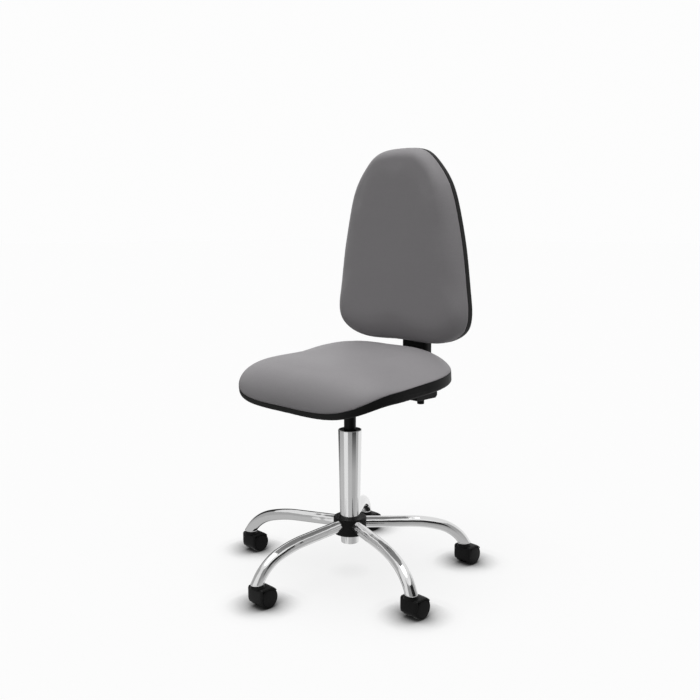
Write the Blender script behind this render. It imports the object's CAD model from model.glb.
# %% [markdown]
# # Dressing an armless office chair
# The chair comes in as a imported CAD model: chrome star base on castors, gas column, black shells and two
# plain solids where the padding goes. This lesson gives each solid a finish, replaces the two plain pads by
# upholstered ones, and refines the tubes, the castors and the rim of the seat. Everything is in metres, Z is
# up, the chair faces -Y, and the floor is at Z = 0.

# %% Load the frame
import math

import bmesh
import bpy
import numpy as np
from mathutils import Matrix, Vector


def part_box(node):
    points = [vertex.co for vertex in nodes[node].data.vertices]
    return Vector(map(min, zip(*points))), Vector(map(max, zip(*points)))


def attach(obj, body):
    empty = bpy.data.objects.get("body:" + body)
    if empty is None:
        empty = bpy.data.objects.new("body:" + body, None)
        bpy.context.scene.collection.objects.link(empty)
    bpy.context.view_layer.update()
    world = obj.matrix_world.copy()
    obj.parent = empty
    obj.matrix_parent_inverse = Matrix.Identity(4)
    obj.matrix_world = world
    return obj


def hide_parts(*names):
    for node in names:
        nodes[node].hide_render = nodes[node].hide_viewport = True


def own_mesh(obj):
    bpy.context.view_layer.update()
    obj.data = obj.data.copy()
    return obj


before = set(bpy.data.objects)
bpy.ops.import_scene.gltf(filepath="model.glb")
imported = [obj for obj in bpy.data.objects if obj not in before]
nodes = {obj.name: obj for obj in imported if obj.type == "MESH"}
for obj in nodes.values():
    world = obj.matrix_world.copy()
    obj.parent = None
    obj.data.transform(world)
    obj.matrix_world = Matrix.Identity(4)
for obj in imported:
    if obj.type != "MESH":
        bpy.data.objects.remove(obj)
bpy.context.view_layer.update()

# %% [markdown]
# ## Camera
# The photograph looks down a little, from the front left corner of the chair. The five castors stand on a
# circle, so its image gives the pitch and the distance. The camera could be aimed with a constraint, but a
# fixed place and angle are easier to read and can't drift.

# %% Camera
CAMERA_REACH = 1.3598           # along +X and along -Y
CAMERA_HEIGHT = 0.815
CAMERA_PITCH_DEG = 8.31
VIEW_ANGLE_DEG = 45.0

camera_data = bpy.data.cameras.new("camera")
camera_data.sensor_width = 36.0
camera_data.angle = math.radians(VIEW_ANGLE_DEG)
camera = bpy.data.objects.new("camera", camera_data)
camera.location = (CAMERA_REACH, -CAMERA_REACH, CAMERA_HEIGHT)
camera.rotation_euler = (math.radians(90 - CAMERA_PITCH_DEG), 0, math.radians(45))
bpy.context.scene.collection.objects.link(camera)
bpy.context.scene.camera = camera
print("camera lens", round(camera_data.lens, 2), "mm")

# %% [markdown]
# ## Writing shaders as sums
# A finish is a small graph of nodes. Wiring each one by hand hides the idea, so a socket is wrapped in a
# class whose plus, minus and times add Math nodes, and one method adds any other node.


# %% Shader helper
class Wire:
    """A shader output. Arithmetic on it adds Math nodes to the same tree."""

    def __init__(self, socket):
        self.socket = socket

    def math(self, operation, first, second):
        maths = self.socket.id_data.nodes.new("ShaderNodeMath")
        maths.operation = operation
        for place, value in zip(maths.inputs, (first, second)):
            connect(value, place)
        return Wire(maths.outputs[0])

    def __add__(self, other):
        return self.math("ADD", self, other)

    def __sub__(self, other):
        return self.math("SUBTRACT", self, other)

    def __rsub__(self, other):
        return self.math("SUBTRACT", other, self)

    def __mul__(self, other):
        return self.math("MULTIPLY", self, other)

    __radd__ = __add__
    __rmul__ = __mul__


def connect(value, place):
    """Link a Wire to an input, or write a plain value on it."""
    if isinstance(value, Wire):
        value.socket.id_data.links.new(value.socket, place)
    else:
        place.default_value = value


class Finish:
    """A procedural material under construction."""

    def __init__(self, name):
        self.material = bpy.data.materials.new(name)
        self.material.use_nodes = True
        self.tree = self.material.node_tree
        self.tree.nodes.clear()

    def node(self, kind, settings, sockets, out=0):
        """Add a node: its settings come first, then the values or links of its sockets."""
        made = self.tree.nodes.new(kind)
        for key, value in settings.items():
            if key == "stops":
                for stop, (place, shade) in zip(made.color_ramp.elements, value):
                    stop.position = place
                    stop.color = (shade, shade, shade, 1)
            else:
                setattr(made, key, value)
        for key, value in sockets.items():
            connect(value, made.inputs[key])
        return Wire(made.outputs[out]) if made.outputs else None

    def place(self):
        """Object coordinates, in metres."""
        return self.node("ShaderNodeTexCoord", {}, {}, "Object")

    def noise(self, size, detail=3.0, rough=0.5):
        """Noise whose blobs are about size metres across, from 0 to 1."""
        return self.node("ShaderNodeTexNoise", {}, {
            "Vector": self.place(), "Scale": 1 / size, "Detail": detail, "Roughness": rough}, "Fac")

    def mix(self, mask, low, high):
        """Colour between two colours."""
        return self.node("ShaderNodeMix", {"data_type": "RGBA"}, {0: mask, 6: (*low, 1), 7: (*high, 1)}, 2)

    def bump(self, height, depth, strength=1.0):
        """Normal from a height of 0 to 1 that stands for depth metres."""
        return self.node("ShaderNodeBump", {}, {
            "Height": height, "Distance": depth, "Strength": strength}, "Normal")

    def surface(self, **sockets):
        """Principled shader, with underscores for the spaces in socket names, joined to the output."""
        named = {key.replace("_", " "): value for key, value in sockets.items()}
        shader = self.node("ShaderNodeBsdfPrincipled", {}, named, "BSDF")
        self.node("ShaderNodeOutputMaterial", {}, {"Surface": shader})
        return self.material


def grey(level, warm=0.0):
    """Linear colour of one brightness, a little towards mauve where warm is above 0."""
    return (level * (1 + warm), level, level * (1 + warm))


print("shader helper ready")

# %% [markdown]
# ## Leather
# The padding is covered in grey leather cloth. Close up it is a net of soft creases round flat cells about
# two millimetres across, and further off it shows as a faint mottle with level streaks. A Voronoi texture
# gives the cells, its distance to the nearest edge gives the creases, and noises of larger blobs and of long
# flat blobs lift them unevenly.


# %% Leather
def leather():
    """Grey leather cloth: creased cells, fine pores and a slow change of tone."""
    finish = Finish("grey_leather")
    wander = finish.noise(0.004, 2.0)
    shifted = finish.node("ShaderNodeVectorMath", {"operation": "MULTIPLY_ADD"}, {
        0: finish.node("ShaderNodeCombineXYZ", {}, {"X": wander, "Y": wander, "Z": wander}),
        1: (0.0016, 0.0016, 0.0016), 2: finish.place()})
    edge = finish.node("ShaderNodeTexVoronoi", {"feature": "DISTANCE_TO_EDGE"}, {
        "Vector": shifted, "Scale": 1 / 0.0024}, "Distance")
    cell = finish.node("ShaderNodeValToRGB", {"stops": ((0.0, 0.0), (0.16, 1.0))}, {"Fac": edge})
    pores = finish.noise(0.0006, 2.0)
    mottle = finish.noise(0.009, 4.0, 0.65)
    tone = finish.noise(0.11, 2.0)
    flattened = finish.node("ShaderNodeMapping", {}, {"Vector": finish.place(), "Scale": (40, 40, 260)})
    lines = finish.node("ShaderNodeTexNoise", {}, {"Vector": flattened, "Scale": 1.0, "Detail": 3.0}, "Fac")
    height = cell * 0.4 + pores * 0.15 + mottle * 0.3 + lines * 0.15
    shade = cell * 0.35 + mottle * 0.25 + tone * 0.2 + lines * 0.2
    colour = finish.mix(shade, grey(0.258, 0.035), grey(0.314, 0.035))
    return finish.surface(
        Base_Color=colour, Roughness=0.50 + mottle * 0.16 - cell * 0.05, Specular_IOR_Level=0.3,
        Normal=finish.bump(height, 0.0004, 0.45))


leather_finish = leather()
print("made", leather_finish.name)

# %% [markdown]
# ## Black plastics
# Shells, covers, knobs and castors are moulded in black plastic with a fine matt grain from the mould. One
# recipe with a few numbers serves all of them: grain size, gloss and how black it is.


# %% Plastics and painted steel
def moulded(name, level, grain, depth, rough, shine):
    """Black moulding: fine grain in the bump, slight handling marks in the gloss."""
    finish = Finish(name)
    speck = finish.noise(grain, 2.0, 0.6)
    wear = finish.noise(0.03, 3.0)
    colour = finish.mix(speck * 0.6 + wear * 0.4, grey(level * 0.8), grey(level * 1.25))
    return finish.surface(
        Base_Color=colour, Roughness=rough - 0.06 + wear * 0.14, Specular_IOR_Level=shine,
        Normal=finish.bump(speck, depth, 0.5))


shell_plastic = moulded("shell_plastic", 0.0075, 0.0011, 0.0002, 0.50, 0.13)
castor_plastic = moulded("castor_plastic", 0.0080, 0.0007, 0.0001, 0.42, 0.10)
wheel_plastic = moulded("wheel_plastic", 0.0080, 0.0008, 0.0001, 0.46, 0.10)
knob_plastic = moulded("knob_plastic", 0.0075, 0.0009, 0.00015, 0.48, 0.13)
black_paint = moulded("black_paint", 0.0078, 0.0022, 0.0001, 0.36, 0.13)
print("made five black finishes")

# %% [markdown]
# ## Chrome, steel and plywood
# The tubes are bent steel, polished and plated. Bending leaves the wall a little wavy, so the reflections
# run along the tube in lines that wander. A slow bump under a mirror finish gives that. Bare steel is the
# same idea with more roughness. The boards under the pads are plywood, hidden but finished all the same.


# %% Metals and wood
def plated(name, level, rough, wave_size, wave_depth):
    """Polished plating over a slightly wavy wall, with faint smudges in the gloss."""
    finish = Finish(name)
    wave = finish.noise(wave_size, 1.0, 0.4)
    smudge = finish.noise(0.02, 4.0, 0.6)
    return finish.surface(
        Base_Color=finish.mix(smudge, grey(level * 0.97), grey(level)), Metallic=1.0,
        Roughness=rough + smudge * 0.04, Normal=finish.bump(wave, wave_depth, 1.0))


def plywood():
    """Pale board with long streaks of grain across the chair."""
    finish = Finish("plywood")
    stretched = finish.node("ShaderNodeMapping", {}, {"Vector": finish.place(), "Scale": (8, 90, 250)})
    streak = finish.node("ShaderNodeTexNoise", {}, {"Vector": stretched, "Scale": 1.0, "Detail": 5.0}, "Fac")
    return finish.surface(
        Base_Color=finish.mix(streak, (0.30, 0.19, 0.10), (0.56, 0.40, 0.24)), Roughness=0.62 - streak * 0.1,
        Normal=finish.bump(streak, 0.0002, 0.4))


tube_chrome = plated("tube_chrome", 0.72, 0.09, 0.030, 0.0013)
column_chrome = plated("column_chrome", 0.76, 0.08, 0.09, 0.0003)
collar_chrome = plated("collar_chrome", 0.76, 0.18, 0.02, 0.0001)
bare_steel = plated("bare_steel", 0.52, 0.28, 0.003, 0.00003)
board_wood = plywood()
print("made four metals and", board_wood.name)

# %% [markdown]
# ## Which solid wears what
# Each CAD node keeps its shape and gets its finish by name. The castors and arms are numbered, so they are
# found by how their names start or end.

# %% Finishes on the CAD nodes
FINISH_OF = {
    "column_tube": column_chrome, "stem_sockets": collar_chrome,
    "gas_cylinder": black_paint, "mechanism": black_paint, "back_arm": black_paint,
    "hinge_pin": black_paint, "upright_bar": black_paint,
    "seat_board": board_wood, "back_board": board_wood,
    "tension_knob": knob_plastic, "height_knob": knob_plastic, "lever_grip": knob_plastic,
}
PLASTIC_NODES = ("hub", "guide_bush", "seat_shell", "back_shell", "upright_cover", "height_slide",
                 "recline_housing")
CASTOR_ENDINGS = {"_hood": castor_plastic, "_wheel_left": wheel_plastic, "_wheel_right": wheel_plastic}


def finish_for(name):
    """The finish that a node of this name wears; bare steel where nothing else is said."""
    if name in PLASTIC_NODES:
        return shell_plastic
    if name.startswith("arm_") and name[4:].isdigit():
        return tube_chrome
    for ending, finish in CASTOR_ENDINGS.items():
        if name.endswith(ending):
            return finish
    return FINISH_OF.get(name, bare_steel)


for name, solid in nodes.items():
    solid.data.materials.clear()
    solid.data.materials.append(finish_for(name))
print("finished", len(nodes), "nodes")

# %% [markdown]
# ## Padding as a grid
# A pad is a closed form: an outline that the frame gives, a crowned top with a soft shoulder, and a flat
# underside. A round grid would crowd its points in the middle, so a square grid is wrapped onto the outline,
# ring by ring. The inner rings share the flat part and the outer ones go down the shoulder.

# %% Grid helpers
WALL_LEAN = 0.1                 # part of a unit normal that a side wall may have along the pad's direction


def wrapped_grid(inner, outer):
    """Ring number and angle of each point of a square grid.

    The grid has 2 (inner + outer) + 1 points a side. A point's ring is the larger of its two steps from the
    middle, and its angle runs evenly along each side of that ring's square.
    """
    half = inner + outer
    across, up = np.meshgrid(np.arange(-half, half + 1), np.arange(-half, half + 1), indexing="xy")
    ring = np.maximum(abs(across), abs(up))
    angle_wide = np.pi / 4 * up / np.where(across == 0, 1, across) + np.where(across < 0, np.pi, 0)
    angle_tall = np.pi / 2 - np.pi / 4 * across / np.where(up == 0, 1, up) + np.where(up < 0, np.pi, 0)
    return ring, np.where(abs(across) >= abs(up), angle_wide, angle_tall)


def quads_of(index):
    """Corner numbers of the quads of a grid of point numbers, counter-clockwise."""
    corners = [index[:-1, :-1], index[:-1, 1:], index[1:, 1:], index[1:, :-1]]
    return np.stack([c.ravel() for c in corners], axis=1)


def closed_pad(name, top, bottom):
    """Object from two square grids of points whose outer rings are one and the same."""
    side = top.shape[0]
    upper = np.arange(side * side).reshape(side, side)
    lower = upper.copy()
    lower[1:-1, 1:-1] = side * side + np.arange((side - 2) ** 2).reshape(side - 2, side - 2)
    points = np.concatenate([top.reshape(-1, 3), bottom[1:-1, 1:-1].reshape(-1, 3)])
    quads = np.concatenate([quads_of(upper), quads_of(lower)[:, ::-1]])
    mesh = bpy.data.meshes.new(name)
    mesh.from_pydata(points.tolist(), [], quads.tolist())
    mesh.shade_smooth()
    pad = bpy.data.objects.new(name, mesh)
    bpy.context.scene.collection.objects.link(pad)
    return pad


def solid_points(name):
    """Corner points of a CAD node, one row each."""
    flat = np.empty(3 * len(nodes[name].data.vertices))
    nodes[name].data.vertices.foreach_get("co", flat)
    return flat.reshape(-1, 3)


def standing_walls(name, direction):
    """Corner points of a CAD node's triangles that stand along a direction: its side walls."""
    mesh = nodes[name].data
    corners = np.empty(len(mesh.loops), dtype=int)
    mesh.loops.foreach_get("vertex_index", corners)
    normals = np.empty(3 * len(mesh.polygons))
    mesh.polygons.foreach_get("normal", normals)
    upright = abs(normals.reshape(-1, 3) @ np.array(direction)) < WALL_LEAN
    return solid_points(name)[np.unique(corners.reshape(-1, 3)[upright])]


def rim_radius(rim, centre, angle):
    """Distance from the centre to the outline at each angle, read between the outline's own points."""
    offset = rim - np.array(centre)
    known = np.arctan2(offset[:, 1], offset[:, 0])
    return np.interp(angle, known, np.hypot(offset[:, 0], offset[:, 1]), period=2 * np.pi)


def shoulder(ring, inner, outer, width, top_power, fall_power, bulge):
    """Inset from the outline and share of the full height, ring by ring.

    The shoulder is the curve (1 - inset / width)^top_power + share^fall_power = 1, and half way round it
    stands out by a bulge.
    """
    turn = np.clip((inner + outer - ring) / outer, 0, 1) * np.pi / 2
    inset = width * (1 - np.cos(turn) ** (2 / top_power)) - bulge * np.sin(2 * turn)
    return inset, np.sin(turn) ** (2 / fall_power)


print("grid helpers ready")

# %% [markdown]
# ## The seat pad
# The seat is a foam pad with a waterfall front: behind the front edge it lies level, then it rolls down so
# that it doesn't press on the thighs. It is a little hollow where one sits, with a wide soft shoulder at the
# sides and the rear and a fuller nose in front. It could be sculpted, but a few heights and a shoulder curve
# keep it exactly on the frame's outline.

# %% Seat pad shape
SEAT_TILT = math.radians(4.8)
SEAT_PLANE_Z = 0.4845
SEAT_MIDDLE = (0.0, 0.010)
WATERFALL_START = -0.098
WATERFALL_RADIUS = 0.180
PAD_MID = 0.0444
PAD_FRONT_RISE = 0.0120
PAD_REAR_RISE = 0.0115
PAD_REAR_POWER = 1.5
PAD_RISES_FROM = -0.06
PAD_SIDE_DROP = 0.0135
PAD_HOLLOW = 0.0085
HOLLOW_AT = 0.030
HOLLOW_WIDTH = 0.12
HOLLOW_LENGTH = 0.11
SIDE_SHOULDER = 0.110
NOSE_SHOULDER = 0.059
SIDE_BULGE = 0.0024
NOSE_BULGE = 0.0010
REAR_BULGE = 0.0050
SIDE_TOP_POWER = 2.1
NOSE_TOP_POWER = 3.0
SIDE_FALL_POWER = 1.43
NOSE_FALL_POWER = 1.79
INNER_RINGS = 34
SHOULDER_RINGS = 12
SWELL = 0.002


def seat_to_chair(x, along, high):
    """Tilt points of the seat's own plane about the X axis into the chair's frame."""
    y = along * math.cos(SEAT_TILT) - high * math.sin(SEAT_TILT)
    z = SEAT_PLANE_Z + along * math.sin(SEAT_TILT) + high * math.cos(SEAT_TILT)
    return np.stack([x, y, z], axis=-1)


def chair_to_seat(points):
    """The same tilt undone."""
    x, y, z = points.T
    along = y * math.cos(SEAT_TILT) + (z - SEAT_PLANE_Z) * math.sin(SEAT_TILT)
    high = (z - SEAT_PLANE_Z) * math.cos(SEAT_TILT) - y * math.sin(SEAT_TILT)
    return x, along, high


def waterfall(along):
    """Height of the seat plane: level, then a circle that falls away in front."""
    reach = np.maximum(0, WATERFALL_START - along)
    return np.sqrt(WATERFALL_RADIUS ** 2 - reach ** 2) - WATERFALL_RADIUS


def seat_outline():
    """Outline of the CAD pad in the seat's own plane, read from its side walls."""
    normal = (0, -math.sin(SEAT_TILT), math.cos(SEAT_TILT))
    x, along, high = chair_to_seat(standing_walls("seat_cushion", normal))
    return np.stack([x, along], axis=1)


def towards(share, side, end):
    """A value that goes from one at the sides to another at an end, in proportion to a share."""
    return side + (end - side) * share


def seat_crown(x, along, half_width, front, rear):
    """Thickness of the padding: a middle height, a power curve towards each side, a bell-shaped hollow."""
    forward = np.maximum(0, (WATERFALL_START - along) / (WATERFALL_START - front))
    back = np.maximum(0, (along - PAD_RISES_FROM) / (rear - PAD_RISES_FROM))
    hollow = np.exp(-(x / HOLLOW_WIDTH) ** 2 - ((along - HOLLOW_AT) / HOLLOW_LENGTH) ** 2)
    return (PAD_MID + PAD_FRONT_RISE * forward ** 2 + PAD_REAR_RISE * back ** PAD_REAR_POWER
            - PAD_SIDE_DROP * (x / half_width) ** 2 - PAD_HOLLOW * hollow)


def seat_pad():
    """Closed seat pad on the outline of the CAD pad, lower than it by what the cloth will swell."""
    rim = seat_outline()
    ring, angle = wrapped_grid(INNER_RINGS, SHOULDER_RINGS)
    edge = rim_radius(rim, SEAT_MIDDLE, angle)
    nose = np.maximum(0, -np.sin(angle)) ** 2
    tail = np.maximum(0, np.sin(angle))
    width = towards(nose, SIDE_SHOULDER, NOSE_SHOULDER)
    top_power = towards(nose, SIDE_TOP_POWER, NOSE_TOP_POWER)
    fall_power = towards(nose, SIDE_FALL_POWER, NOSE_FALL_POWER)
    bulge = towards(nose, SIDE_BULGE, NOSE_BULGE) + (REAR_BULGE - SIDE_BULGE) * tail
    inset, share = shoulder(ring, INNER_RINGS, SHOULDER_RINGS, width, top_power, fall_power, bulge)
    radius = np.where(ring <= INNER_RINGS, (edge - width) * ring / INNER_RINGS, edge - inset)
    gx = SEAT_MIDDLE[0] + radius * np.cos(angle)
    ga = SEAT_MIDDLE[1] + radius * np.sin(angle)
    (half_width, rear), front = rim.max(axis=0), rim[:, 1].min()
    crown = seat_crown(gx, ga, half_width, front, rear) - SWELL
    top = seat_to_chair(gx, ga, waterfall(np.maximum(ga, front)) + crown * share)
    flat = edge * ring / ring.max()
    bx = SEAT_MIDDLE[0] + flat * np.cos(angle)
    ba = SEAT_MIDDLE[1] + flat * np.sin(angle)
    return closed_pad("seat_pad", top, seat_to_chair(bx, ba, waterfall(ba)))


seat = seat_pad()
print("seat pad has", len(seat.data.vertices), "points")

# %% [markdown]
# ## The back pad
# The back pad stands upright on an egg-shaped board, wide at the bottom and round at the top. Its front is
# nearly flat. Its edge is a full round, tight at the top and wide at the bottom, where it supports the small
# of the back. The outline is read from the rear rim of the CAD pad.

# %% Back pad shape
BACK_CROWN = 0.002
BACK_SHOULDER = 0.034
TOP_NARROWER = 0.011
BOTTOM_WIDER = 0.021
BACK_BULGE = 0.0015
BOTTOM_BULGE = 0.0020
BACK_TOP_POWER = 2.2
BACK_FALL_POWER = 1.9


def back_pad():
    """Closed back pad: depth of the CAD pad plus a slight crown, on the CAD outline."""
    points = solid_points("back_cushion")
    rear = points[:, 1].max()
    depth = rear - points[:, 1].min()
    rim = standing_walls("back_cushion", (0, 1, 0))[:, (0, 2)]
    middle = (0.0, 0.5 * (points[:, 2].min() + points[:, 2].max()))
    ring, angle = wrapped_grid(INNER_RINGS, SHOULDER_RINGS)
    edge = rim_radius(rim, middle, angle)
    above = np.maximum(0, np.sin(angle)) ** 2
    below = np.maximum(0, -np.sin(angle)) ** 2
    width = BACK_SHOULDER - TOP_NARROWER * above + BOTTOM_WIDER * below
    bulge = BACK_BULGE + BOTTOM_BULGE * below
    inset, share = shoulder(
        ring, INNER_RINGS, SHOULDER_RINGS, width, BACK_TOP_POWER, BACK_FALL_POWER, bulge)
    radius = np.where(ring <= INNER_RINGS, (edge - width) * ring / INNER_RINGS, edge - inset)
    crown = BACK_CROWN * (1 - (radius / edge) ** 2) - SWELL
    front = rear - (depth + crown) * share
    top = np.stack([radius * np.cos(angle), front, middle[1] + radius * np.sin(angle)], axis=-1)
    flat = edge * ring / ring.max()
    level = np.full_like(flat, rear)
    bottom = np.stack([flat * np.cos(angle), level, middle[1] + flat * np.sin(angle)], axis=-1)
    return closed_pad("back_pad", top, bottom)


back = back_pad()
print("back pad has", len(back.data.vertices), "points")

# %% [markdown]
# ## Filling the pads
# A real cover is pulled over foam and the foam pushes it out. Blender's cloth does the same: the underside
# is held, a little pressure acts inside, gravity is off, and after twenty frames no point may have moved
# more than a few millimetres. The result is written back to the mesh, so no cloth stays on the piece.

# %% Cloth
CLOTH_FRAMES = 20
CLOTH_PRESSURE = 4.0
CLOTH_STIFFNESS = 15.0
SWELL_CAP = 0.003
SMOOTHING_PASSES = 8


def swell(pad, top_points, pressure, cap):
    """Puff a pad out: its first top_points points may move, by cap metres at most, and the rest are held.

    The moves are then averaged with their grid neighbours a few times, which takes out creases.
    """
    count = len(pad.data.vertices)
    start = np.empty(3 * count)
    pad.data.vertices.foreach_get("co", start)
    held = pad.vertex_groups.new(name="held")
    side = int(math.sqrt(top_points))
    number = np.arange(top_points).reshape(side, side)
    rim = np.concatenate([number[0], number[-1], number[1:-1, 0], number[1:-1, -1]])
    held.add(rim.tolist() + list(range(top_points, count)), 1.0, "REPLACE")
    cloth = pad.modifiers.new("cover", "CLOTH")
    cloth.settings.use_pressure = True
    cloth.settings.uniform_pressure_force = pressure
    cloth.settings.vertex_group_mass = "held"
    cloth.settings.bending_stiffness = CLOTH_STIFFNESS
    cloth.settings.effector_weights.gravity = 0.0
    cloth.point_cache.frame_end = CLOTH_FRAMES
    for step in range(1, CLOTH_FRAMES + 1):
        bpy.context.scene.frame_set(step)
    shaped = pad.evaluated_get(bpy.context.evaluated_depsgraph_get())
    end = np.empty(3 * count)
    shaped.data.vertices.foreach_get("co", end)
    move = (end - start).reshape(-1, 3)
    length = np.linalg.norm(move, axis=1)
    move *= np.minimum(1, cap / np.maximum(length, 1e-9))[:, None]
    sheet = move[:top_points].reshape(side, side, 3)
    for _ in range(SMOOTHING_PASSES):
        sheet[1:-1, 1:-1] = (sheet[:-2, 1:-1] + sheet[2:, 1:-1] + sheet[1:-1, :-2] + sheet[1:-1, 2:]) / 4
    pad.modifiers.remove(cloth)
    pad.vertex_groups.remove(held)
    pad.data.vertices.foreach_set("co", (start.reshape(-1, 3) + move).ravel())
    pad.data.update()
    bpy.context.scene.frame_set(1)
    print(pad.name, "moved", round(1000 * float(length.mean()), 2), "mm on average,",
          round(1000 * float(length.max()), 2), "mm at most before the cap")


top_count = (2 * (INNER_RINGS + SHOULDER_RINGS) + 1) ** 2
for pad, body, node in ((seat, "seat", "seat_cushion"), (back, "back", "back_cushion")):
    swell(pad, top_count, CLOTH_PRESSURE, SWELL_CAP)
    smooth = pad.modifiers.new("smooth", "SUBSURF")
    smooth.levels = 1
    smooth.render_levels = 1
    pad.data.materials.append(leather_finish)
    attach(pad, body)
    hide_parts(node)

# %% [markdown]
# ## Swept and turned forms
# Some hard pieces are finer than the solids under them: the castor hoods, the tubes, the rim of the seat
# tray and the recline spring. Each could be modelled on its own, but all of them are rings of points carried
# along a line or round an axis. So one helper closes rings into a solid form, and another makes a piece of
# a few such forms.

# %% Ring helpers
SHARP_FROM_DEG = 40
CASTORS = range(1, 6)


def ring_form(rings, capped):
    """Points and faces of a tube through closed rings; its ends are capped, or joined to each other."""
    count, around = rings.shape[:2]
    index = np.arange(count * around).reshape(count, around)
    wrapped = np.concatenate([index, index[:, :1]], axis=1)
    if not capped:
        wrapped = np.concatenate([wrapped, wrapped[:1]])
    faces = quads_of(wrapped).tolist()
    if capped:
        faces += [index[0].tolist(), index[-1].tolist()]
    return rings.reshape(-1, 3), faces


def full_turn(steps):
    """Angles evenly round a circle."""
    return np.linspace(0, 2 * np.pi, steps, endpoint=False)


def turned_points(profile, centre, steps):
    """A profile of radius and height, turned about the vertical line through a centre, step by step."""
    radius, height = np.array(profile).T
    turn = full_turn(steps)[:, None]
    return np.stack([centre[0] + radius * np.cos(turn), centre[1] + radius * np.sin(turn),
                     height + 0 * turn], axis=-1)


def formed_piece(name, forms, body, finish):
    """One piece from closed forms, with its normals outwards, that rides on a body."""
    points = []
    faces = []
    for form_points, form_faces in forms:
        faces += [[corner + len(points) for corner in face] for face in form_faces]
        points += form_points.tolist()
    mesh = bpy.data.meshes.new(name)
    mesh.from_pydata(points, [], faces)
    shell = bmesh.new()
    shell.from_mesh(mesh)
    bmesh.ops.recalc_face_normals(shell, faces=shell.faces)
    shell.to_mesh(mesh)
    shell.free()
    mesh.shade_smooth()
    mesh.set_sharp_from_angle(angle=math.radians(SHARP_FROM_DEG))
    mesh.materials.append(finish)
    piece = bpy.data.objects.new(name, mesh)
    bpy.context.scene.collection.objects.link(piece)
    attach(piece, body)
    return piece


def middle_of(name):
    """Middle of a CAD node's box."""
    low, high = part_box(name)
    return [0.5 * (a + b) for a, b in zip(low, high)]


print("ring helpers ready")

# %% [markdown]
# ## Castor hoods
# A castor has two wheels under one black hood. The hood is a thin fender that hugs the tops of the wheels,
# with a web between them and a neck round the steel pin that it turns on. A rounded box with the wheels cut
# out of it would be too thick. So the fender is its side view, carried across the wheels with a thin wall
# and rounded off at both edges, the web is a disc, and the neck is turned.

# %% Castor hoods
HOOD_REACH = 0.0254             # from the axle to the outside of the fender
HOOD_HALF_WIDTH = 0.0234
HOOD_WALL = 0.0014
HOOD_EDGE_FALL = 0.003
HOOD_CORNER = 0.006
FRONT_END_DEG = 204
REAR_END_DEG = 42
WEB_RADIUS = 0.0228
WEB_FLATTENED = 0.0036
WEB_HALF_WIDTH = 0.006
WEB_EASED = 0.0006
TURNED_STEPS = 48
STEM_HOLE = 0.0057
NECK_TOP = 0.0542


def hood_line(axle_y, axle_z):
    """Side view of the fender: up round the wheels and on up, a corner, level, then down on a circle."""
    low = np.radians(np.linspace(FRONT_END_DEG, 180, 5))
    corner = np.linspace(np.pi, np.pi / 2, 7)
    rear = np.linspace(np.pi / 2, math.radians(REAR_END_DEG), 10)
    y = np.concatenate([HOOD_REACH * np.cos(low), HOOD_CORNER * (1 + np.cos(corner)) - HOOD_REACH,
                        HOOD_REACH * np.cos(rear)])
    z = np.concatenate([HOOD_REACH * np.sin(low), HOOD_REACH - HOOD_CORNER * (1 - np.sin(corner)),
                        HOOD_REACH * np.sin(rear)])
    return axle_y + y, axle_z + z


def fender_form(stem, axle):
    """The fender: its side view carried across the wheels, with a wall.

    Towards both edges it falls on the curve across^4 + (1 - fall)^4 = 1.
    """
    y, z = hood_line(axle[1], axle[2])
    along_y, along_z = np.gradient(y), np.gradient(z)
    length = np.hypot(along_y, along_z)
    across = np.sin(np.linspace(-np.pi / 2, np.pi / 2, 15))
    fall = HOOD_EDGE_FALL * (1 - (1 - across ** 4) ** 0.25)
    depth = np.concatenate([fall, fall[::-1] + HOOD_WALL])[None, :]
    x = stem[0] + HOOD_HALF_WIDTH * np.concatenate([across, across[::-1]])[None, :]
    rings = np.stack([
        x + 0 * y[:, None], y[:, None] + depth * (along_z / length)[:, None],
        z[:, None] - depth * (along_y / length)[:, None]], axis=-1)
    return ring_form(rings, capped=True)


def web_form(stem, axle):
    """The web between the wheels: a disc nearly as large, with eased rims.

    Near the floor it is flattened, by the sixth power of the sine downwards.
    """
    turn = full_turn(TURNED_STEPS)[None, :]
    place = WEB_HALF_WIDTH * np.array([-1, -0.9, 0.9, 1])[:, None]
    eased = WEB_EASED * np.array([1, 0, 0, 1])[:, None]
    radius = WEB_RADIUS - WEB_FLATTENED * np.maximum(0, -np.sin(turn)) ** 6 - eased
    rings = np.stack([stem[0] + place + 0 * turn, axle[1] + radius * np.cos(turn),
                      axle[2] + radius * np.sin(turn)], axis=-1)
    return ring_form(rings, capped=True)


NECK_PROFILE = ((STEM_HOLE, 0.0470), (0.0162, 0.0470), (0.0162, 0.0490), (0.0152, 0.0505),
                (0.0140, 0.0530), (0.0132, NECK_TOP), (STEM_HOLE, NECK_TOP))
for number in CASTORS:
    body = "castor_%d" % number
    stem = middle_of(body + "_stem")
    axle = middle_of(body + "_axle")
    neck = ring_form(turned_points(NECK_PROFILE, stem, TURNED_STEPS), capped=False)
    forms = [fender_form(stem, axle), web_form(stem, axle), neck]
    hood = formed_piece("castor_hood_%d" % number, forms, body, castor_plastic)
    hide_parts("castor_%d_hood" % number)
print("moulded five castor hoods")

# %% [markdown]
# ## Castor pins
# Each castor turns on a steel pin that goes up into the end of its tube. Here the tubes end on a slant, so
# the pin is shorter than the solid, which would come out through the wall. A plain cylinder would do, but
# circles of a turned profile also give it the bevel at its top.

# %% Castor pins
PIN_PROFILE = ((0.0055, 0.0302), (0.0055, 0.0650), (0.0045, 0.0660))
PIN_STEPS = 32

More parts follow.
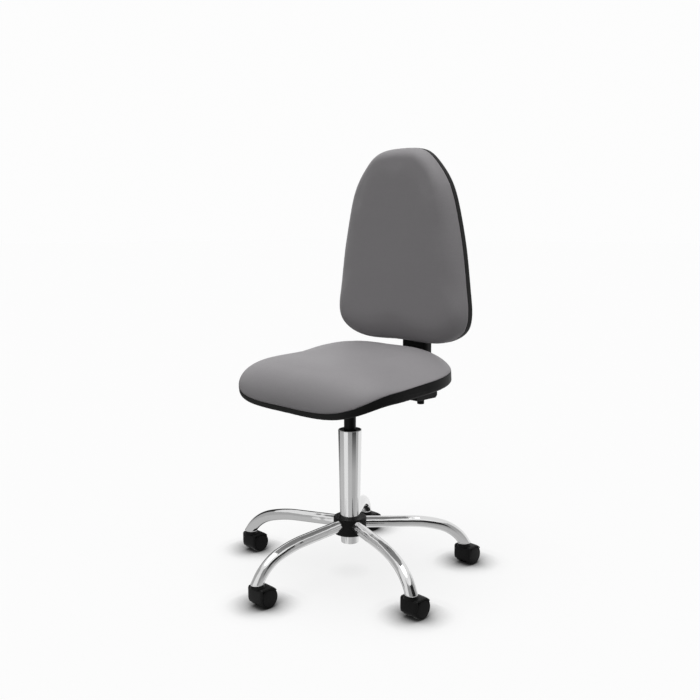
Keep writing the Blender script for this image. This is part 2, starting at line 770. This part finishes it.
for number in CASTORS:
    node = "castor_%d_stem" % number
    circles = turned_points(PIN_PROFILE, middle_of(node), PIN_STEPS).swapaxes(0, 1)
    solid_pin = ring_form(circles, capped=True)
    pin = formed_piece("castor_pin_%d" % number, [solid_pin], "castor_%d" % number, bare_steel)
    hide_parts(node)
print("turned five castor pins")

# %% [markdown]
# ## Arm tubes
# Five steel tubes run nearly level out of the hub, bend down and end on a slant, cut level over the castor.
# A curve with a bevel would sweep a round tube as well, but it can't cut its end level or give it a bore. So
# the middle line is worked out from its headings, back from the castor, and a circle is carried along it.

# %% Arm tubes
ARM_RADIUS = 0.0135
ARM_WALL = 0.0018
ARM_BORE_RINGS = 5
ARM_SIDES = 40
SLOW_STEPS = 9
TIGHT_STEPS = 16
ARM_ROOT = 0.027
ARM_END = 0.281
ARM_END_Z = 0.0567
ARM_SLOPE_DEG = 2.6             # headings below level: the straight, between the bends, at the castor
ARM_SPLIT_DEG = 16.7
ARM_END_DEG = 58.6
SLOW_BEND = 0.3059
END_BEND = 0.1077
LEVEL_CUT_DEG = 5.2


def bend(heading, last_out, last_high, radius):
    """Distance and height along an arc, from its last point back: the sine and cosine of the heading."""
    out = last_out - radius * (np.sin(heading[-1]) - np.sin(heading))
    return out, last_high + radius * (np.cos(heading) - np.cos(heading[-1]))


def arm_line():
    """Middle line of an arm: nearly level from the hub, then a slow bend, then a tighter one."""
    before_cut = np.linspace(ARM_SPLIT_DEG, ARM_END_DEG - LEVEL_CUT_DEG, TIGHT_STEPS)
    tight = np.radians(np.append(before_cut, ARM_END_DEG))
    slow = np.radians(np.linspace(ARM_SLOPE_DEG, ARM_SPLIT_DEG, SLOW_STEPS))
    tight_out, tight_high = bend(tight, ARM_END, ARM_END_Z, END_BEND)
    slow_out, slow_high = bend(slow, tight_out[0], tight_high[0], SLOW_BEND)
    root_high = slow_high[0] + (slow_out[0] - ARM_ROOT) * math.tan(slow[0])
    out = np.concatenate([[ARM_ROOT], slow_out, tight_out[1:]])
    high = np.concatenate([[root_high], slow_high, tight_high[1:]])
    return np.stack([out, high, np.concatenate([slow[:1], slow, tight[1:]])])


def arm_form(angle):
    """A circle carried square to the middle line, then a smaller one some way back, which is the bore.

    The rings at the end are slid along the tube to a level cut.
    """
    line = arm_line()
    count = line.shape[1]
    order = np.append(np.arange(count), np.arange(count - 1, count - 1 - ARM_BORE_RINGS, -1))
    out, high, heading = line[:, order, None]
    radius = (ARM_RADIUS - ARM_WALL * (np.arange(len(order)) >= count))[:, None]
    turn = full_turn(ARM_SIDES)[None, :]
    reach = out + radius * np.cos(turn) * np.sin(heading)
    level = high + radius * np.cos(turn) * np.cos(heading)
    side = radius * np.sin(turn)
    cut = slice(count - 1, count + 1)
    reach[cut] += (level[cut] - ARM_END_Z) / np.tan(heading[cut])
    level[cut] = ARM_END_Z
    rings = np.stack([reach * math.cos(angle) - side * math.sin(angle),
                      reach * math.sin(angle) + side * math.cos(angle), level], axis=-1)
    return ring_form(rings, capped=True)


for number in CASTORS:
    stem = middle_of("castor_%d_stem" % number)
    bent = arm_form(math.atan2(stem[1], stem[0]))
    tube = formed_piece("arm_tube_%d" % number, [bent], "base", tube_chrome)
    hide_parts("arm_%d" % number)
print("bent five arm tubes")

# %% [markdown]
# ## Tube lips
# A narrow bright lip closes each tube, with a plug inside it that holds the pin. A ring from a profile would
# be round, but the level cut of a slanting tube is longer along the arm. So the lip is turned about the pin
# and then drawn out that way.

# %% Tube lips
LIP_PROFILE = ((STEM_HOLE, 0.0547), (0.0130, 0.0547), (0.0137, 0.0551), (0.0139, 0.0558),
               (0.0137, 0.0566), (0.0112, 0.0566), (0.0108, 0.0600), (STEM_HOLE, 0.0600))


def lip_form(stem):
    """A turned lip, drawn out along the arm as the level cut of a slanting tube is."""
    points, faces = ring_form(turned_points(LIP_PROFILE, stem, TURNED_STEPS), capped=False)
    arm = np.array([stem[0], stem[1], 0]) / math.hypot(stem[0], stem[1])
    drawn = 1 / math.sin(math.radians(ARM_END_DEG)) - 1
    return points + drawn * ((points - np.array(stem)) @ arm)[:, None] * arm, faces


lip_forms = [lip_form(middle_of("castor_%d_stem" % number)) for number in CASTORS]
lips = formed_piece("tube_lips", lip_forms, "base", collar_chrome)
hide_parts("stem_sockets")
print("turned", len(lip_forms), "tube lips")

# %% [markdown]
# ## Lip of the seat tray
# Under the pad shows a black band: the rim of the moulded tray. It is narrow in front and deeper along the
# sides, and its lower edge is rounded. The band is a closed profile carried round the same outline as the
# pad, so the two can't part.

# %% Lip of the seat tray
TRAY_FRONT_DEPTH = 0.0125
TRAY_MORE_DEPTH = 0.0145
TRAY_DEEPENS_OVER = 0.070
TRAY_STEPS = 240
TRAY_LIP = ((0.0003, 0.0, 0.002), (0.0003, 1.0, -0.0060), (0.0012, 1.0, -0.0034), (0.0028, 1.0, -0.0016),
            (0.0050, 1.0, -0.0004), (0.0075, 1.0, 0.0), (0.0120, 1.0, 0.0), (0.0140, 1.0, -0.002),
            (0.0140, 0.0, 0.005), (0.0110, 0.0, 0.002))


def tray_lip_form():
    """Lip along the seat's outline, from under the pad to a depth that grows from the front backwards.

    The growth dies away exponentially. Each point of the profile is an inset, a share of the depth and a
    further step down.
    """
    rim = seat_outline()
    turn = full_turn(TRAY_STEPS)
    edge = rim_radius(rim, SEAT_MIDDLE, turn)
    front = rim[:, 1].min()
    along = SEAT_MIDDLE[1] + edge * np.sin(turn)
    level = waterfall(np.maximum(along, front))
    depth = TRAY_FRONT_DEPTH + TRAY_MORE_DEPTH * (1 - np.exp((front - along) / TRAY_DEEPENS_OVER))
    inset, share, step = np.array(TRAY_LIP).T
    radius = edge[:, None] - inset
    high = level[:, None] - depth[:, None] * share - step
    rings = seat_to_chair(SEAT_MIDDLE[0] + radius * np.cos(turn)[:, None],
                          SEAT_MIDDLE[1] + radius * np.sin(turn)[:, None], high)
    return ring_form(rings, capped=False)


formed_piece("seat_tray_lip", [tray_lip_form()], "seat", shell_plastic)
print("laid the tray lip")

# %% [markdown]
# ## Recline spring
# A coil in the elbow box pushes the back forwards, and the upright presses it down as the back tips. A rigid
# coil would stick through the upright then, so this one is wound again as a mesh that flattens towards its
# foot as the joint turns.

# %% Recline spring
SPRING_RADIUS = 0.0055
SPRING_WIRE = 0.001
SPRING_TURNS = 5
SPRING_STEPS = 181
SPRING_SIDES = 12


def spring_form(middle, low, high):
    """A small circle carried up a helix."""
    share = np.linspace(0, 1, SPRING_STEPS)[:, None]
    turn = 2 * np.pi * SPRING_TURNS * share
    ring = full_turn(SPRING_SIDES)[None, :]
    reach = SPRING_RADIUS + SPRING_WIRE * np.cos(ring)
    level = low + SPRING_WIRE + (high - low - 2 * SPRING_WIRE) * share + SPRING_WIRE * np.sin(ring)
    rings = np.stack([middle[0] + reach * np.cos(turn), middle[1] + reach * np.sin(turn), level], axis=-1)
    return ring_form(rings, capped=True)


spring_low, spring_high = (corner[2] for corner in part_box("recline_spring"))
spring_middle = middle_of("recline_spring")
wound = spring_form(spring_middle, spring_low, spring_high)
coil = formed_piece("recline_coil", [wound], "seat", bare_steel)
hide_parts("recline_spring")
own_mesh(coil)
print("wound a spring", round(1000 * (spring_high - spring_low), 2), "mm long")

# %% [markdown]
# ## Floor
# The photograph has a white floor that fades into a white wall, with soft dark patches where the castors
# touch. Lamps alone would leave the floor grey, so it glows a little less than white, and the glow fades
# where something stands close above it. Ambient occlusion tells how close. It looks a little towards the
# camera, so the patches lie mostly behind the castors.

# %% Floor
FLOOR_GLOW = 0.83
FLOOR_MATT = 0.15
FLOOR_DULL = 0.22
FLOOR_HALF = 40
SHADE_LEAN = (0.24, -0.24, 0.94)
SHADE_NEAR = 0.060
SHADE_WIDE = 0.085


def openness(finish, distance):
    """From 1 in the open to 0 where all is hidden within a distance, seen along the leaning direction."""
    leaning = finish.node("ShaderNodeCombineXYZ", {}, dict(zip("XYZ", SHADE_LEAN)))
    return finish.node("ShaderNodeAmbientOcclusion", {"samples": 16}, {
        "Distance": distance, "Normal": leaning}, "AO")


def pale_floor():
    """White floor for the camera and for reflections, dull for the light that it would throw back up.

    Its glow is the cube of one openness times another, wider one.
    """
    finish = Finish("pale_floor")
    path = finish.tree.nodes.new("ShaderNodeLightPath")
    seen = Wire(path.outputs["Is Camera Ray"]) + Wire(path.outputs["Is Glossy Ray"])
    near = openness(finish, SHADE_NEAR)
    wide = openness(finish, SHADE_WIDE)
    glow = finish.node("ShaderNodeEmission", {}, {"Color": FLOOR_GLOW * near * near * near * wide})
    matt = finish.node("ShaderNodeBsdfDiffuse", {}, {"Color": (*grey(FLOOR_MATT), 1)})
    both = finish.node("ShaderNodeAddShader", {}, {0: matt, 1: glow})
    dull = finish.node("ShaderNodeBsdfDiffuse", {}, {"Color": (*grey(FLOOR_DULL), 1)})
    shown = finish.node("ShaderNodeMixShader", {}, {0: seen, 1: dull, 2: both})
    finish.node("ShaderNodeOutputMaterial", {}, {"Surface": shown})
    return finish.material


floor_mesh = bpy.data.meshes.new("floor")
floor_corners = [(FLOOR_HALF * x, FLOOR_HALF * y, 0) for x, y in ((-1, -1), (1, -1), (1, 1), (-1, 1))]
floor_mesh.from_pydata(floor_corners, [], [(0, 1, 2, 3)])
floor_mesh.materials.append(pale_floor())
floor = bpy.data.objects.new("floor", floor_mesh)
bpy.context.scene.collection.objects.link(floor)
print("floor laid")

# %% [markdown]
# ## Cards for the chrome
# Chrome shows only what is around it, and in a white room it would be white. In a studio, cards beside the
# object draw dark lines on it. Here five bent cards lie round the column and stand up beyond the castors,
# and one hangs under the seat. Only reflections see them. Each glows in one grey near the floor and in
# another higher up.

# %% Cards for the chrome
CARD_NEAR = 0.06
CARD_FAR = 0.62
CARD_TOP = 0.5
CARDS = (                       # from and to degrees round the column, shade near the floor and higher up
    (-225, -163, 0.50, 0.02),
    (-163, -107, 0.62, 0.50),
    (-65, -25, 0.60, 0.35),
    (-25, 17, 0.50, 0.02),
    (17, 50, 0.60, 0.45),
)
FLOOR_PROFILE = ((CARD_NEAR, 0.002), (CARD_FAR, 0.002), (CARD_FAR, CARD_TOP))
UNDER_SEAT_PROFILE = ((0.03, 0.375), (0.13, 0.375), (0.23, 0.375))
UNDER_SEAT_SHADE = 0.26
CARD_STEPS = 13
SHADE_FROM = 0.05
SHADE_TO = 0.19


def card(number, profile, start_deg, end_deg, low, high):
    """Bent card: a profile of distance and height, carried round part of a circle about the column."""
    turn = np.radians(np.linspace(start_deg, end_deg, CARD_STEPS))[:, None]
    reach, level = np.array(profile).T
    points = np.stack([reach * np.cos(turn), reach * np.sin(turn), level + 0 * turn], axis=-1)
    quads = quads_of(np.arange(reach.size * CARD_STEPS).reshape(CARD_STEPS, -1))
    mesh = bpy.data.meshes.new("card_%d" % number)
    mesh.from_pydata(points.reshape(-1, 3).tolist(), [], quads.tolist())
    finish = Finish("card_shade_%d" % number)
    height = finish.node("ShaderNodeSeparateXYZ", {}, {0: finish.place()}, "Z")
    shade = finish.node("ShaderNodeMapRange", {}, {
        "Value": height, "From Min": SHADE_FROM, "From Max": SHADE_TO, "To Min": low, "To Max": high})
    glow = finish.node("ShaderNodeEmission", {}, {"Color": shade})
    finish.node("ShaderNodeOutputMaterial", {}, {"Surface": glow})
    mesh.materials.append(finish.material)
    sheet = bpy.data.objects.new(mesh.name, mesh)
    bpy.context.scene.collection.objects.link(sheet)
    sheet.visible_camera = False
    sheet.visible_diffuse = False
    sheet.visible_shadow = False
    sheet.visible_transmission = False


for number, values in enumerate(CARDS):
    card(number + 1, FLOOR_PROFILE, *values)
card(0, UNDER_SEAT_PROFILE, 0, 360, UNDER_SEAT_SHADE, UNDER_SEAT_SHADE)
print("stood", len(CARDS), "cards round the chair and hung one under the seat")

# %% [markdown]
# ## Light
# The photograph's light is soft and comes from above and a little from the front. A pale world gives the
# shade, a very wide sun overhead lights the tops, and a weak one fills the side. The camera and reflections
# see the world nearly white, which is the white wall.

# %% Light
WORLD_LIGHT = 0.358
WORLD_SHOWN_MORE = 0.622

world = bpy.data.worlds.new("studio")
bpy.context.scene.world = world
world.use_nodes = True
sky = world.node_tree
sky.nodes.clear()
path = sky.nodes.new("ShaderNodeLightPath")
shown = Wire(path.outputs["Is Camera Ray"]) + Wire(path.outputs["Is Glossy Ray"])
level = WORLD_LIGHT + shown * WORLD_SHOWN_MORE
glow = sky.nodes.new("ShaderNodeBackground")
glow.inputs["Color"].default_value = (1, 1, 1, 1)
connect(level, glow.inputs["Strength"])
output = sky.nodes.new("ShaderNodeOutputWorld")
sky.links.new(glow.outputs["Background"], output.inputs["Surface"])


def soft_sun(name, aim, spread_deg, strength):
    """Even light from far away along a direction, softened by its spread."""
    lamp = bpy.data.lights.new(name, "SUN")
    lamp.angle = math.radians(spread_deg)
    lamp.energy = strength
    holder = bpy.data.objects.new(name, lamp)
    flat = math.hypot(aim[0], aim[1])
    holder.rotation_euler = (math.atan2(flat, -aim[2]), 0, math.atan2(aim[1], aim[0]) - math.pi / 2)
    bpy.context.scene.collection.objects.link(holder)


soft_sun("overhead", (0.0, 0.08, -1.0), 44, 1.86)
soft_sun("side_fill", (-1.0, 0.2, -0.5), 70, 0.15)
print("two lamps")

# %% [markdown]
# ## Handing over
# The colours go out as they are, without a film look. The boxes of the solids and of the dressed chair are
# written down, so that the two can be compared.

# %% Finish
bpy.context.scene.view_settings.view_transform = "Standard"
